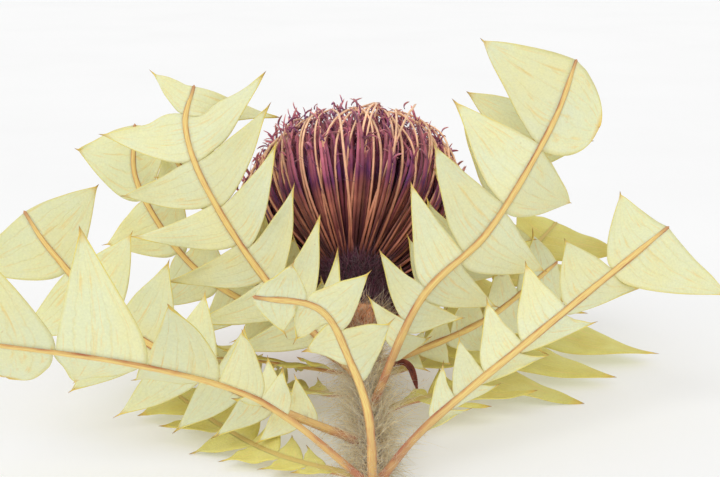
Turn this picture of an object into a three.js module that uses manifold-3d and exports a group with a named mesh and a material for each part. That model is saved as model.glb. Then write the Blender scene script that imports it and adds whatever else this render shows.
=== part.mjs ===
// A dried banksia flower, lying on its side as it was cut: a woody stem, fifteen deeply lobed leaves crowded
// below the head, a woolly collar of bracts, and a dome of long wiry florets on a core. Millimetres, +Z up.
// The flower lies on z = 0 with its stem along +Y, and its head points to +Y and up.
import * as THREE from "three";
import { mergeVertices } from "three/addons/utils/BufferGeometryUtils.js";
import Module from "manifold-3d";

const wasm = await Module();
wasm.setup();

// ---- driving dimensions ----
const GAP = 0.3; // clearance between pieces that touch
const BLADE = 0.8; // thickness of a leaf blade

// The stem's centre line, from the cut end to the head, and its radius at each end.
const STEM_LINE = [
  [9, -188, 4.8], [9, -150, 4.8], [8.5, -112, 6.5], [7.5, -75, 16.5], [5, -48, 28],
];
const STEM_RADIUS = [5, 4.2];
const STEM_SIDES = 12;
const STEM_STEPS = 16;

// The head stands on this point, along this axis.
const HEAD_BASE = new THREE.Vector3(2.5, -30, 39);
const HEAD_AXIS = new THREE.Vector3(-0.11, 0.735, 0.67).normalize();

// Profiles about the head's axis, as radius and height above the head's base.
const COLLAR_OUTSIDE = [[5.4, -23], [8, -18], [11, -12], [13.5, -7], [12.5, -4]];
const CORE_OUTSIDE = [
  [12, -3.7], [12, 3], [14, 9], [19, 16], [26, 25], [31, 37], [31, 52], [25, 66], [13, 77], [0, 81],
];
const ROUND_SIDES = 20;

// Florets: how many, where their tips stand (the dome's radius, and its height above the head's base at its
// middle and at its rim), how far the dome leans to +X, and how wide a floret is. On the head's lower and
// upper side, how far from the axis the lowest ones open, in degrees, and how high their feet stand.
const FLORETS = 225;
const DOME_RADIUS = 47;
const DOME_TOP = 90;
const DOME_RIM = 73;
const LOPSIDE = 4.5;
const FLORET_WIDTH = 2.6;
const OPEN_BELOW = 110;
const OPEN_ABOVE = 62;
const FOOT_BELOW = 5;
const FOOT_ABOVE = 14;
const GOLDEN_ANGLE = Math.PI * (3 - Math.sqrt(5));

// Each leaf: the y at which it leaves the stem, the points that its midrib follows to its tip, the way its
// upper face looks, its turn about the midrib in degrees at foot and tip, how far its halves fold up, the
// lobes on a side, the longest one's length left and right, and how far the lobes sweep forward left and
// right. Where they differ from the usual ones: the share of the length before the first lobe, the first
// lobe's width and the last one's as shares of a full one, the first lobe's length as a share of the longest,
// and the length of the last left and right lobes as shares of their own.
// The ones that rest are let down on to the table.
const TOWARDS_HEAD = [0, 1, 0.2];
const FORWARDS = [0, 1, -0.15];
const UPWARDS = [0, 0.1, 1];
const UP_AND_BACK = [0, -0.35, 1];
const LEANING_BACK = [0, -0.7, 1];
const LOBE_STEPS = [0.34, 0.64, 0.87, 1]; // shares of a lobe's length at which it has corners
const PETIOLE = 0.13;
const FIRST_WIDTH = 0.5;
const LAST_WIDTH = 1.2;
const SHORTEST = 0.42;
const LEAVES = [
  {
    name: "leaf_01", from: -126, via: [[-26, -106, 5], [-50, -78, 5]], tip: [-74, -42, 6],
    face: UP_AND_BACK, turn: [0, 0], fold: 8, lobes: 6, reach: [18, 18], rests: true,
  },
  {
    name: "leaf_02", from: -140, via: [[7.5, -138, 33], [1, -138, 54], [-9, -146, 75]], tip: [-30, -155, 82],
    face: TOWARDS_HEAD, turn: [0, 0], fold: 15, lobes: 3, reach: [20, 15], sweep: [-0.3, -0.6],
    petiole: 0.42, first: 1.3, last: 1.1, short: 0.85, ends: [0.65, 0.8],
  },
  {
    name: "leaf_03", from: -132, via: [[-20, -121, 25.5], [-42, -121, 38], [-81, -124, 49]],
    tip: [-142, -122, 57], face: TOWARDS_HEAD, turn: [-28, -28], fold: 26, lobes: 5, reach: [42, 24],
    petiole: 0.24, first: 0.35,
  },
  {
    name: "leaf_04", from: -136, via: [[13, -133, 10], [30, -112, 21], [69, -90, 46]], tip: [127, -54, 81],
    face: FORWARDS, turn: [25, -32], fold: 24, lobes: 6, reach: [12, 25], sweep: [0.4, 0.1], petiole: 0.2,
    short: 0.5, ends: [2.8, 1],
  },
  {
    name: "leaf_05", from: -103, via: [[-40, -90, 24], [-88, -72, 45], [-117, -60, 72]], tip: [-129, -53, 87],
    face: FORWARDS, turn: [30, 0], fold: 8, lobes: 7, reach: [30, 32],
  },
  {
    name: "leaf_06", from: -88, via: [[28, -66, 18], [66, -15, 20]], tip: [110, 44, 20],
    face: UP_AND_BACK, turn: [0, 12], fold: 8, lobes: 5, reach: [16, 42], rests: true,
  },
  {
    name: "leaf_07", from: -84, via: [[28, -74, 57], [55, -60, 81], [81, -38, 118]], tip: [94, -16, 143],
    face: FORWARDS, turn: [16, 16], fold: 20, lobes: 6, reach: [34, 38], sweep: [0, 0.1], first: 0.4,
    last: 1.5, ends: [0.65, 1],
  },
  {
    name: "leaf_08", from: -74, via: [[-20, -50, 12], [-41, -26, 9]], tip: [-74, 22, 6],
    face: UPWARDS, turn: [0, 0], fold: 6, lobes: 5, reach: [20, 20], rests: true,
  },
  {
    name: "leaf_09", from: -68, via: [[-32, -58, 59], [-57, -46, 95], [-66.5, -33, 118]],
    tip: [-64, -22, 133], face: TOWARDS_HEAD, turn: [0, 0], fold: 4, lobes: 7, reach: [36, 36],
    sweep: [0.4, 0.3], first: 0.8, last: 0.65, ends: [1, 0.5], short: 0.85,
  },
  {
    name: "leaf_10", from: -62, via: [[-20, -48, 21], [-48, -33, 19]], tip: [-92, -14, 14],
    face: UPWARDS, turn: [15, 15], fold: 8, lobes: 6, reach: [20, 20],
  },
  {
    name: "leaf_11", from: -63, via: [[28, -44, 21], [53, -11, 30], [78, 30, 43]], tip: [100, 64, 55],
    face: LEANING_BACK, turn: [0, 0], fold: 8, lobes: 6, reach: [18, 40],
  },
  {
    name: "leaf_12", from: -64, via: [[-26, -50, 39], [-67, -18, 55], [-92, -1, 87]], tip: [-94, 8, 112],
    face: FORWARDS, turn: [0, 0], fold: 8, lobes: 6, reach: [18, 26],
  },
  {
    name: "leaf_13", from: -58, via: [[30, -53, 30], [58, -42, 40]], tip: [88, -22, 58],
    face: TOWARDS_HEAD, turn: [0, 0], fold: 10, lobes: 5, reach: [18, 18],
  },
  {
    name: "leaf_14", from: -50, via: [[-27, -42, 59], [-57, -36, 86]], tip: [-76, -18, 106],
    face: TOWARDS_HEAD, turn: [0, 0], fold: 8, lobes: 4, reach: [20, 12],
  },
  {
    name: "leaf_15", from: -49, via: [[36, -44, 55], [70, -16, 92]], tip: [86, 4, 120],
    face: FORWARDS, turn: [0, 0], fold: 8, lobes: 6, reach: [22, 33],
  },
];

// ---- helpers ----
const vec = (p) => new THREE.Vector3(...p);
const lerp = THREE.MathUtils.lerp;
const radians = THREE.MathUtils.degToRad;
const smooth = (x, low, high) => THREE.MathUtils.smoothstep(x, low, high);

// A seeded draw from 0 to 1.
function drawsFrom(seed) {
  let state = seed >>> 0;
  return () => {
    state = (state + 0x6d2b79f5) >>> 0;
    let t = state;
    t = Math.imul(t ^ (t >>> 15), t | 1);
    t ^= t + Math.imul(t ^ (t >>> 7), t | 61);
    return ((t ^ (t >>> 14)) >>> 0) / 4294967296;
  };
}

function geometryFrom(points, faces) {
  const geometry = new THREE.BufferGeometry();
  geometry.setAttribute("position", new THREE.Float32BufferAttribute(points.flatMap((p) => p.toArray()), 3));
  geometry.setIndex(faces.flat());
  return geometry;
}

function solidFrom(geometry) {
  const bare = geometry.clone();
  bare.deleteAttribute("normal");
  bare.deleteAttribute("uv");
  const merged = mergeVertices(bare, 1e-4);
  return new wasm.Manifold(new wasm.Mesh({
    numProp: 3,
    vertProperties: new Float32Array(merged.attributes.position.array),
    triVerts: new Uint32Array(merged.index.array),
  }));
}

function largestBody(solid) {
  return solid.decompose().reduce((a, b) => (a.volume() > b.volume() ? a : b));
}

function meshFrom(name, solid, material) {
  const made = solid.getMesh();
  const positions = new Float32Array(made.numVert * 3);
  for (let i = 0; i < made.numVert; i++) {
    positions.set(made.vertProperties.subarray(i * made.numProp, i * made.numProp + 3), i * 3);
  }
  const geometry = new THREE.BufferGeometry();
  geometry.setAttribute("position", new THREE.BufferAttribute(positions, 3));
  geometry.setIndex(new THREE.BufferAttribute(made.triVerts, 1));
  geometry.computeVertexNormals();
  const mesh = new THREE.Mesh(geometry, material);
  mesh.name = name;
  return mesh;
}

// A closed tube through rings of points: each ring has the same number of points, counterclockwise as seen
// from behind the first ring. A last ring of one point closes to a tip.
function tubeThrough(rings) {
  const points = rings.flat();
  const sides = rings[0].length;
  const faces = [];
  for (let j = 1; j < sides - 1; j++) faces.push([0, j, j + 1]);
  rings.slice(1).forEach((ring, i) => {
    const a = i * sides;
    const b = a + sides;
    for (let j = 0; j < sides; j++) {
      const k = (j + 1) % sides;
      if (ring.length === 1) faces.push([a + j, b, a + k]);
      else faces.push([a + j, b + j, b + k], [a + j, b + k, a + k]);
    }
  });
  if (rings.at(-1).length > 1) {
    const last = points.length - sides;
    for (let j = 1; j < sides - 1; j++) faces.push([last, last + j + 1, last + j]);
  }
  return geometryFrom(points, faces);
}

// ---- stem ----
const stemCurve = new THREE.CatmullRomCurve3(STEM_LINE.map(vec), false, "catmullrom", 0.5);

function stemSolid(extra) {
  const rings = [];
  for (let i = 0; i <= STEM_STEPS; i++) {
    const t = i / STEM_STEPS;
    const centre = stemCurve.getPointAt(t);
    const along = stemCurve.getTangentAt(t);
    const across = new THREE.Vector3(1, 0, 0).addScaledVector(along, -along.x).normalize();
    const above = new THREE.Vector3().crossVectors(across, along);
    const radius = lerp(...STEM_RADIUS, t) + extra;
    rings.push(Array.from({ length: STEM_SIDES }, (_, j) => {
      const turn = -(2 * Math.PI * j) / STEM_SIDES;
      return centre.clone()
        .addScaledVector(across, radius * Math.cos(turn))
        .addScaledVector(above, -radius * Math.sin(turn));
    }));
  }
  return solidFrom(tubeThrough(rings));
}

// ---- leaves ----
// Places along the midrib, 0 to 1, between the lobes of one side: small lobes at the foot, broad at the tip.
function lobeBounds(leaf, side) {
  const petiole = leaf.petiole ?? PETIOLE;
  const widthOf = (i) => lerp(leaf.first ?? FIRST_WIDTH, 1, smooth(i / (leaf.lobes - 1), 0, 0.8));
  const widths = Array.from({ length: leaf.lobes }, (_, i) => widthOf(i));
  widths[leaf.lobes - 1] *= leaf.last ?? LAST_WIDTH;
  let reached = side > 0 ? 0.4 * widths[0] : 0;
  const total = widths.reduce((a, b) => a + b, reached);
  const bounds = [petiole + ((1 - petiole) * reached) / total];
  for (const width of widths) {
    reached += width;
    bounds.push(petiole + ((1 - petiole) * reached) / total);
  }
  return bounds;
}

// The share of the stem's length at which it passes a given y.
function stemShareAt(y) {
  let [low, high] = [0, 1];
  for (let i = 0; i < 30; i++) {
    const middle = (low + high) / 2;
    if (stemCurve.getPointAt(middle).y < y) low = middle;
    else high = middle;
  }
  return low;
}

function leafFrames(leaf) {
  const foot = stemCurve.getPointAt(stemShareAt(leaf.from));
  const through = [foot, ...leaf.via.map(vec), vec(leaf.tip)];
  const curve = new THREE.CatmullRomCurve3(through, false, "catmullrom", 0.5);
  const length = curve.getLength();
  return {
    length,
    at(t) {
      const point = curve.getPointAt(t);
      const along = curve.getTangentAt(t);
      const up = vec(leaf.face);
      up.addScaledVector(along, -up.dot(along)).normalize();
      up.applyAxisAngle(along, radians(lerp(...leaf.turn, t)));
      const right = new THREE.Vector3().crossVectors(along, up);
      return { point, along, up, right };
    },
  };
}

// One lobe's place and shape. Its peak is how far forward the tip stands, as a share of the lobe's width.
function lobeShape(leaf, side, i, bounds, draw) {
  const outward = i / (leaf.lobes - 1);
  const which = side < 0 ? 0 : 1;
  const end = i === leaf.lobes - 1 ? (leaf.ends?.[which] ?? 1) : 1;
  const reach = leaf.reach[which] * end * lerp(leaf.short ?? SHORTEST, 1, smooth(outward, -0.15, 0.7));
  const sweep = leaf.sweep?.[which] ?? 0;
  return {
    from: bounds[i],
    to: bounds[i + 1],
    length: reach * lerp(0.92, 1.06, draw()),
    peak: lerp(1.1, 0.8, outward) + sweep + lerp(-0.08, 0.08, draw()),
    fold: radians(leaf.fold + lerp(-5, 5, draw())),
    curl: lerp(-0.3, 0.2, draw()),
  };
}

// The near and far edge of a lobe at a share of its length, as points on the middle of the blade. The near
// edge is rounded, and the far edge almost straight.
function lobeEdges(frames, side, lobe, share) {
  const { point, along, up, right } = frames.at(lerp(lobe.from, lobe.to, 0.5));
  const width = (lobe.to - lobe.from) * frames.length;
  const out = share * lobe.length;
  const edge = (offset) => point.clone()
    .addScaledVector(right, side * out * Math.cos(lobe.fold))
    .addScaledVector(up, out * Math.sin(lobe.fold) + lobe.curl * out * share)
    .addScaledVector(along, width * (offset - 0.5));
  const near = edge(lobe.peak * share ** 1.9 * (1.4 - 0.4 * share));
  const far = edge(1 - (1 - lobe.peak) * share ** 1.6);
  return { near, far, up };
}

// The midrib's corners at one place, flat above and keeled below, from the top left one round to the right.
function midribCorners({ point, up, right }, t) {
  const half = lerp(2, 0.8, t ** 0.6);
  const deep = lerp(2, 0.9, t ** 0.6);
  const left = [[-half, BLADE / 2], [-half, -BLADE / 2], [-half / 2, -deep]];
  const mirrored = left.map(([x, z]) => [-x, z]).reverse();
  const place = ([x, z]) => point.clone().addScaledVector(right, x).addScaledVector(up, z);
  return [...left, ...mirrored].map(place);
}

// A leaf is one closed surface: lobes grow out of the midrib's two side faces, and the top and the underside
// of a lobe are split into triangles alike.
function leafGeometry(leaf, seed) {
  const draw = drawsFrom(seed);
  const frames = leafFrames(leaf);
  const bounds = { [-1]: lobeBounds(leaf, -1), [1]: lobeBounds(leaf, 1) };
  const stations = [...new Set([0, 0.06, ...bounds[-1], ...bounds[1]])].sort((a, b) => a - b);
  const points = [];
  const faces = [];
  const add = (p) => points.push(p) - 1;

  const rings = stations.map((t) => midribCorners(frames.at(t), t).map(add));
  const hasLobe = (side, i) => stations[i] >= bounds[side][0] - 1e-9;
  for (let i = 0; i < rings.length - 1; i++) {
    for (let j = 0; j < 6; j++) {
      if ((j === 0 && hasLobe(-1, i)) || (j === 4 && hasLobe(1, i))) continue;
      const k = (j + 1) % 6;
      const [now, next] = [rings[i], rings[i + 1]];
      faces.push([now[j], next[j], next[k]], [now[j], next[k], now[k]]);
    }
  }
  const first = rings[0];
  const last = rings.at(-1);
  for (let j = 1; j < 5; j++) {
    faces.push([first[0], first[j], first[j + 1]], [last[0], last[j + 1], last[j]]);
  }

  for (const side of [-1, 1]) {
    const [topCorner, lowCorner] = side < 0 ? [0, 1] : [5, 4];
    const face = (a, b, c) => faces.push(side < 0 ? [a, b, c] : [a, c, b]);
    for (let i = 0; i < leaf.lobes; i++) {
      const lobe = lobeShape(leaf, side, i, bounds[side], draw);
      const isWithin = (t) => t > lobe.from - 1e-9 && t < lobe.to + 1e-9;
      const within = rings.filter((_, n) => isWithin(stations[n]));
      const topFoot = within.map((ring) => ring[topCorner]);
      const lowFoot = within.map((ring) => ring[lowCorner]);
      const sections = LOBE_STEPS.map((share) => {
        const { near, far, up } = lobeEdges(frames, side, lobe, share);
        const half = share === 1 ? 0.3 : BLADE / 2;
        const corner = (p, offset) => add(p.clone().addScaledVector(up, offset));
        const nearTop = corner(near, half);
        const nearLow = corner(near, -half);
        if (share === 1) return { nearTop, nearLow, farTop: nearTop, farLow: nearLow };
        return { nearTop, nearLow, farTop: corner(far, half), farLow: corner(far, -half) };
      });

      // The midrib's points fan out to the first section's near corner, then to its far one.
      const nearest = sections[0];
      const middle = Math.floor((topFoot.length - 1) / 2);
      for (let n = 0; n < topFoot.length - 1; n++) {
        const isNear = n < middle;
        face(topFoot[n], topFoot[n + 1], isNear ? nearest.nearTop : nearest.farTop);
        face(lowFoot[n], isNear ? nearest.nearLow : nearest.farLow, lowFoot[n + 1]);
      }
      face(topFoot[middle], nearest.farTop, nearest.nearTop);
      face(lowFoot[middle], nearest.nearLow, nearest.farLow);

      let before = {
        nearTop: topFoot[0], farTop: topFoot.at(-1), nearLow: lowFoot[0], farLow: lowFoot.at(-1),
      };
      for (const now of sections) {
        if (now !== nearest) {
          face(before.nearTop, before.farTop, now.farTop);
          face(before.nearLow, now.farLow, before.farLow);
          if (now.farTop !== now.nearTop) {
            face(before.nearTop, now.farTop, now.nearTop);
            face(before.nearLow, now.nearLow, now.farLow);
          }
        }
        face(before.farTop, before.farLow, now.farLow);
        face(before.farTop, now.farLow, now.farTop);
        face(before.nearTop, now.nearTop, now.nearLow);
        face(before.nearTop, now.nearLow, before.nearLow);
        before = now;
      }
    }
  }
  if (leaf.rests) letDown(points, frames.at(0).point);
  return geometryFrom(points, faces);
}

// Lowers a leaf on to the table, more the further from its foot, until its lowest point touches.
function letDown(points, foot) {
  const share = (p) => smooth(Math.hypot(p.x - foot.x, p.y - foot.y), 0, 60);
  const drop = Math.min(...points.map((p) => p.z / Math.max(share(p), 0.3)));
  for (const p of points) p.z -= drop * share(p);
}

// ---- head ----
function lathe(profile) {
  const points = profile.map(([r, z]) => new THREE.Vector2(r, z));
  return new THREE.LatheGeometry(points, ROUND_SIDES).rotateX(Math.PI / 2);
}

const headTurn = new THREE.Matrix4().compose(
  HEAD_BASE,
  new THREE.Quaternion().setFromUnitVectors(new THREE.Vector3(0, 0, 1), HEAD_AXIS),
  new THREE.Vector3(1, 1, 1),
);

function collarSolid(extra) {
  const outside = COLLAR_OUTSIDE.map(([r, z]) => [r + extra, z]);
  const [low, high] = [COLLAR_OUTSIDE[0][1] - extra, COLLAR_OUTSIDE.at(-1)[1]];
  return solidFrom(lathe([[0, low], ...outside, [0, high]]).applyMatrix4(headTurn));
}

// One floret: a three-sided strand that leaves the core, bends up along the dome and comes to a point. Its
// share runs from 0 for the lowest, which spread out flat, to 1 for the ones along the axis.
function floretGeometry(share, turn, draw) {
  const spread = Math.sqrt(1 - share);
  const above = smooth(-Math.sin(turn), -0.1, 0.8);
  const open = radians(lerp(8, lerp(OPEN_BELOW, OPEN_ABOVE, above), spread));
  const footHeight = lerp(34, lerp(FOOT_BELOW, FOOT_ABOVE, above), spread ** 1.5);
  const foot = new THREE.Vector2(lerp(0, 11, spread), footHeight);
  const tip = new THREE.Vector2(
    DOME_RADIUS * spread ** 1.1 * lerp(0.94, 1.03, draw()),
    lerp(DOME_TOP, DOME_RIM, spread ** 3) + lerp(-4, 3, draw()),
  );
  const out = lerp(20, 43, spread);
  const first = foot.clone().add(new THREE.Vector2(Math.sin(open), Math.cos(open)).multiplyScalar(out));
  const second = new THREE.Vector2(tip.x + 9 * spread ** 2, tip.y - lerp(20, 33, spread));
  const lean = lerp(-0.12, 0.12, draw());
  const curve = new THREE.CubicBezierCurve3(
    ...[[foot, 0, 0], [first, 0.3, 0.4], [second, 0.8, 0.9], [tip, 1, 1]].map(([p, share, shift]) => {
      const angle = turn + lean * share;
      return new THREE.Vector3(p.x * Math.cos(angle) + LOPSIDE * shift, p.x * Math.sin(angle), p.y);
    }),
  );
  const rings = [[0, 0.7], [0.42, 1], [0.65, 1], [0.85, 0.8]].map(([t, swell]) => {
    const centre = curve.getPoint(t);
    const along = curve.getTangent(t);
    const sideways = new THREE.Vector3(-Math.sin(turn), Math.cos(turn), 0);
    const outward = new THREE.Vector3().crossVectors(sideways, along).normalize();
    const half = (FLORET_WIDTH / 2) * swell;
    return [[-1, -0.5], [1, -0.5], [0, 0.9]].map(([x, y]) => centre.clone()
      .addScaledVector(sideways, x * half)
      .addScaledVector(outward, y * half));
  });
  return tubeThrough([...rings, [curve.getPoint(1)]]);
}

function headSolid() {
  const draw = drawsFrom(7);
  const parts = [solidFrom(lathe([[0, CORE_OUTSIDE[0][1]], ...CORE_OUTSIDE]).applyMatrix4(headTurn))];
  for (let i = 0; i < FLORETS; i++) {
    parts.push(solidFrom(floretGeometry((i + 0.5) / FLORETS, i * GOLDEN_ANGLE, draw).applyMatrix4(headTurn)));
  }
  return wasm.Manifold.union(parts);
}

// ---- assembly ----
const bark = new THREE.MeshStandardMaterial({ color: 0x9c8a70, roughness: 0.9, metalness: 0 });
const leafGreen = new THREE.MeshStandardMaterial({ color: 0xd5d7a2, roughness: 0.75, metalness: 0 });
const wool = new THREE.MeshStandardMaterial({ color: 0xb79a7c, roughness: 1, metalness: 0 });
const plum = new THREE.MeshStandardMaterial({ color: 0x6d3a4c, roughness: 0.8, metalness: 0 });

const flower = new THREE.Group();
const onTable = new THREE.BoxGeometry(1000, 1000, 500).translate(0, 0, 250);
const stem = stemSolid(0).intersect(solidFrom(onTable));
const stemRoom = stemSolid(GAP);
const collarRoom = collarSolid(GAP);
flower.add(meshFrom("stem", stem, bark));
flower.add(meshFrom("bract_collar", largestBody(collarSolid(0).subtract(stemRoom)), wool));
flower.add(meshFrom("flower_head", largestBody(headSolid()), plum));
LEAVES.forEach((leaf, i) => {
  const blade = solidFrom(leafGeometry(leaf, i + 1)).subtract(stemRoom).subtract(collarRoom);
  flower.add(meshFrom(leaf.name, largestBody(blade), leafGreen));
});

// The origin is put under the middle of the flower.
const middle = new THREE.Box3().setFromObject(flower).getCenter(new THREE.Vector3());
flower.position.set(-middle.x, -middle.y, 0);

export default flower;
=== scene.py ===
import bpy
import math
import numpy as np
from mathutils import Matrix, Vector


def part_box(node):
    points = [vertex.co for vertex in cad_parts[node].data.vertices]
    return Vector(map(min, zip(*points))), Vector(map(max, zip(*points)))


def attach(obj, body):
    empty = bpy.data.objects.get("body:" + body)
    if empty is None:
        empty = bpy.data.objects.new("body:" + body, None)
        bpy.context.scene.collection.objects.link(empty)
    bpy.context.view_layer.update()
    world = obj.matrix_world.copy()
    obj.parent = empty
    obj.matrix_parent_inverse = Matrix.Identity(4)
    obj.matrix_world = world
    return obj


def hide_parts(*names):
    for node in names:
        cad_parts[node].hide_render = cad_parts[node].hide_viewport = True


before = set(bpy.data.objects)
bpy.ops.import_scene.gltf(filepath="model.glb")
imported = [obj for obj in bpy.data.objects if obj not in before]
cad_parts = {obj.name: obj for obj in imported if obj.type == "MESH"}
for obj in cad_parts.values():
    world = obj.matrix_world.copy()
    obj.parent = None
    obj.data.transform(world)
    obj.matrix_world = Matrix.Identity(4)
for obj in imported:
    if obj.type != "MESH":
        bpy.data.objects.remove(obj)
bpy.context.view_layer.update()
print("frame loaded")

# All shapes below are in millimetres, with the head's foot near x = 0. The flower's own origin is elsewhere,
# so every point is shifted, and turned into metres, when its mesh is made.
stemLow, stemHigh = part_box("stem")
originShift = np.array([stemHigh.x * 1000 - 14, stemLow.y * 1000 + 188, 0])
aboveTable = 0.05  # leaves and threads stay this far above the table


def smoothStep(x, low, high):
    t = np.clip((x - low) / (high - low), 0, 1)
    return t * t * (3 - 2 * t)


def mix(a, b, t):
    return a + (b - a) * t


def unit(v):
    return v / np.maximum(np.linalg.norm(v, axis=-1, keepdims=True), 1e-9)


# The same draws from 0 to 1 as the flower's CAD makes, so that lobes have the same sizes in both.
def seededDraws(seed):
    state = seed
    while True:
        state = (state + 0x6D2B79F5) & 0xFFFFFFFF
        t = state
        t = ((t ^ (t >> 15)) * (t | 1)) & 0xFFFFFFFF
        t ^= (t + (((t ^ (t >> 7)) * (t | 61)) & 0xFFFFFFFF)) & 0xFFFFFFFF
        yield ((t ^ (t >> 14)) & 0xFFFFFFFF) / 4294967296


# A smooth path through points, as a function of the share of its length: it gives places and directions.
def smoothPath(points):
    p = np.array(points, float)
    p = np.vstack([2 * p[0] - p[1], p, 2 * p[-1] - p[-2]])
    dense = []
    for i in range(1, len(p) - 2):
        t = np.linspace(0, 1, 60, endpoint=False)[:, None]
        leave, reach = 0.5 * (p[i + 1] - p[i - 1]), 0.5 * (p[i + 2] - p[i])
        dense.append((2 * t**3 - 3 * t**2 + 1) * p[i] + (t**3 - 2 * t**2 + t) * leave
                     + (3 * t**2 - 2 * t**3) * p[i + 1] + (t**3 - t**2) * reach)
    dense = np.vstack(dense + [p[-2:-1]])
    steps = np.linalg.norm(np.diff(dense, axis=0), axis=1)
    shares = np.concatenate([[0], np.cumsum(steps)])
    length = shares[-1]
    shares /= length

    def placeAt(t):
        return np.stack([np.interp(t, shares, dense[:, k]) for k in range(3)], -1)

    def at(t, step=0.004):
        t = np.atleast_1d(t)
        return placeAt(t), unit(placeAt(t + step) - placeAt(t - step))

    return at, length


def addObject(name, data):
    thing = bpy.data.objects.new(name, data)
    bpy.context.scene.collection.objects.link(thing)
    return thing


def makePiece(name, points, quads, tris, values, materials, faceMaterial=None):
    mesh = bpy.data.meshes.new(name)
    points = np.asarray(points, float) + originShift
    quads = np.asarray(quads, int).reshape(-1, 4)
    tris = np.asarray(tris, int).reshape(-1, 3)
    mesh.vertices.add(len(points))
    mesh.vertices.foreach_set("co", (points / 1000).ravel())
    corners = np.concatenate([quads.ravel(), tris.ravel()])
    mesh.loops.add(len(corners))
    mesh.loops.foreach_set("vertex_index", corners)
    count = len(quads) + len(tris)
    starts = np.concatenate([np.arange(len(quads)) * 4, len(quads) * 4 + np.arange(len(tris)) * 3])
    mesh.polygons.add(count)
    mesh.polygons.foreach_set("loop_start", starts)
    mesh.polygons.foreach_set("use_smooth", np.ones(count, bool))
    for material in materials:
        mesh.materials.append(material)
    if faceMaterial is not None:
        mesh.polygons.foreach_set("material_index", faceMaterial)
    mesh.update(calc_edges=True)
    mesh.validate()
    for key, value in values.items():
        layer = mesh.attributes.new(key, "FLOAT", "POINT")
        layer.data.foreach_set("value", np.asarray(value, float).ravel())
    piece = addObject(name, mesh)
    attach(piece, "root")
    return piece


# Faces between neighbouring points of a grid, row by row; a closed grid joins its last column to its first.
def gridFaces(rows, columns, closed=False):
    i, j = np.meshgrid(np.arange(rows - 1), np.arange(columns if closed else columns - 1), indexing="ij")
    k = (j + 1) % columns
    quads = np.stack([i * columns + j, (i + 1) * columns + j, (i + 1) * columns + k, i * columns + k], -1)
    return quads.reshape(-1, 4)


# The rim of a grid from its last row, down one side, along the first row and up the other side.
def rimLoop(rows, columns):
    return np.concatenate([np.arange(rows - 1, 0, -1) * columns, np.arange(columns),
                           np.arange(1, rows) * columns + columns - 1])


def turnsOf(sides):
    return 2 * np.pi * np.arange(sides) / sides


# Rings around a line of centres, each a width across it and a height above it.
def ringsAround(centre, across, above, wide, high):
    return centre[:, None] + across[:, None] * wide[..., None] + above[:, None] * high[..., None]


# A tube of rings closed at both ends, by one more point at its foot and one at its crown.
def tubeFaces(rings, sides):
    last, foot, crown = (rings - 1) * sides, rings * sides, rings * sides + 1
    tris = [[foot, (j + 1) % sides, j] for j in range(sides)]
    tris += [[crown, last + j, last + (j + 1) % sides] for j in range(sides)]
    return gridFaces(rings, sides, closed=True)[:, ::-1], tris


# Many thin closed strands at once. The paths are strands by points by three, the radii strands by points, and
# the outward directions say which way the flat side of a strap looks. Each mark is a random value per strand.
def makeStrands(paths, radii, outward, random, marks=("shade",), sides=3, flat=1.0):
    count, steps = paths.shape[:2]
    along = unit(np.gradient(paths, axis=1))
    across = unit(np.cross(along, outward[:, None, :]))
    above = np.cross(across, along)
    turns = 2 * np.pi * (np.arange(sides) + 0.5) / sides
    rings = (paths[:, :-1, None, :]
             + radii[:, :-1, None, None] * (np.cos(turns)[:, None] * across[:, :-1, None, :]
                                            + flat * np.sin(turns)[:, None] * above[:, :-1, None, :]))
    points = np.concatenate([rings.reshape(count, -1, 3), paths[:, -1:]], axis=1)
    each = points.shape[1]
    quads = gridFaces(steps - 1, sides, closed=True)[:, ::-1]
    last = (steps - 2) * sides
    tips = np.array([[last + j, last + (j + 1) % sides, each - 1] for j in range(sides)])
    caps = np.array([[0, j + 1, j] for j in range(1, sides - 1)])
    tris = np.vstack([tips, caps])
    offsets = (np.arange(count) * each)[:, None, None]
    share = np.concatenate([np.repeat(np.linspace(0, 1, steps)[:-1], sides), [1]])
    values = {"along": np.tile(share, count)}
    for mark in marks:
        values[mark] = np.repeat(random.uniform(0, 1, count), each)
    quads, tris = (quads[None] + offsets).reshape(-1, 4), (tris[None] + offsets).reshape(-1, 3)
    return points.reshape(-1, 3), quads, tris, values


# A part is a tuple of its points, quads, triangles and values; this makes one of several.
def mergeParts(parts):
    points, quads, tris, values = [], [], [], {}
    total = 0
    for p, q, t, v in parts:
        points.append(p)
        quads.append(q + total)
        tris.append(t + total)
        for key, value in v.items():
            values.setdefault(key, []).append(value)
        total += len(p)
    values = {key: np.concatenate(value) for key, value in values.items()}
    return np.vstack(points), np.vstack(quads), np.vstack(tris), values


def joinParts(name, parts, material, node):
    points, quads, tris, values = mergeParts(parts)
    points[:, 2] = np.maximum(points[:, 2], aboveTable)
    piece = makePiece(name, points, quads, tris, values, [material])
    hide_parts(node)


# Short or silky hairs: each starts at a root, goes its own way and bends a little as it goes.
def makeHairs(name, roots, aims, lengths, look, outward, material, node, random):
    n = len(roots)
    s = np.linspace(0, 1, look["points"])[None, :, None]
    bends = random.normal(0, look["bend"], (n, 1, 3)) * lengths[:, None, None]
    paths = roots[:, None] + aims[:, None] * lengths[:, None, None] * s + bends * s**2
    thinning = np.linspace(1, 0.45, look["points"])
    radii = look["radius"] * random.uniform(0.7, 1.3, (n, 1)) * thinning[None]
    joinParts(name, [makeStrands(paths, radii, unit(outward + 0.3), random)], material, node)


# A colour of three channels up to 255 as the shader wants it.
def tint(colour):
    channels = [c / 255 for c in colour]
    return tuple(c / 12.92 if c <= 0.04045 else ((c + 0.055) / 1.055) ** 2.4 for c in channels) + (1,)


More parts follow.
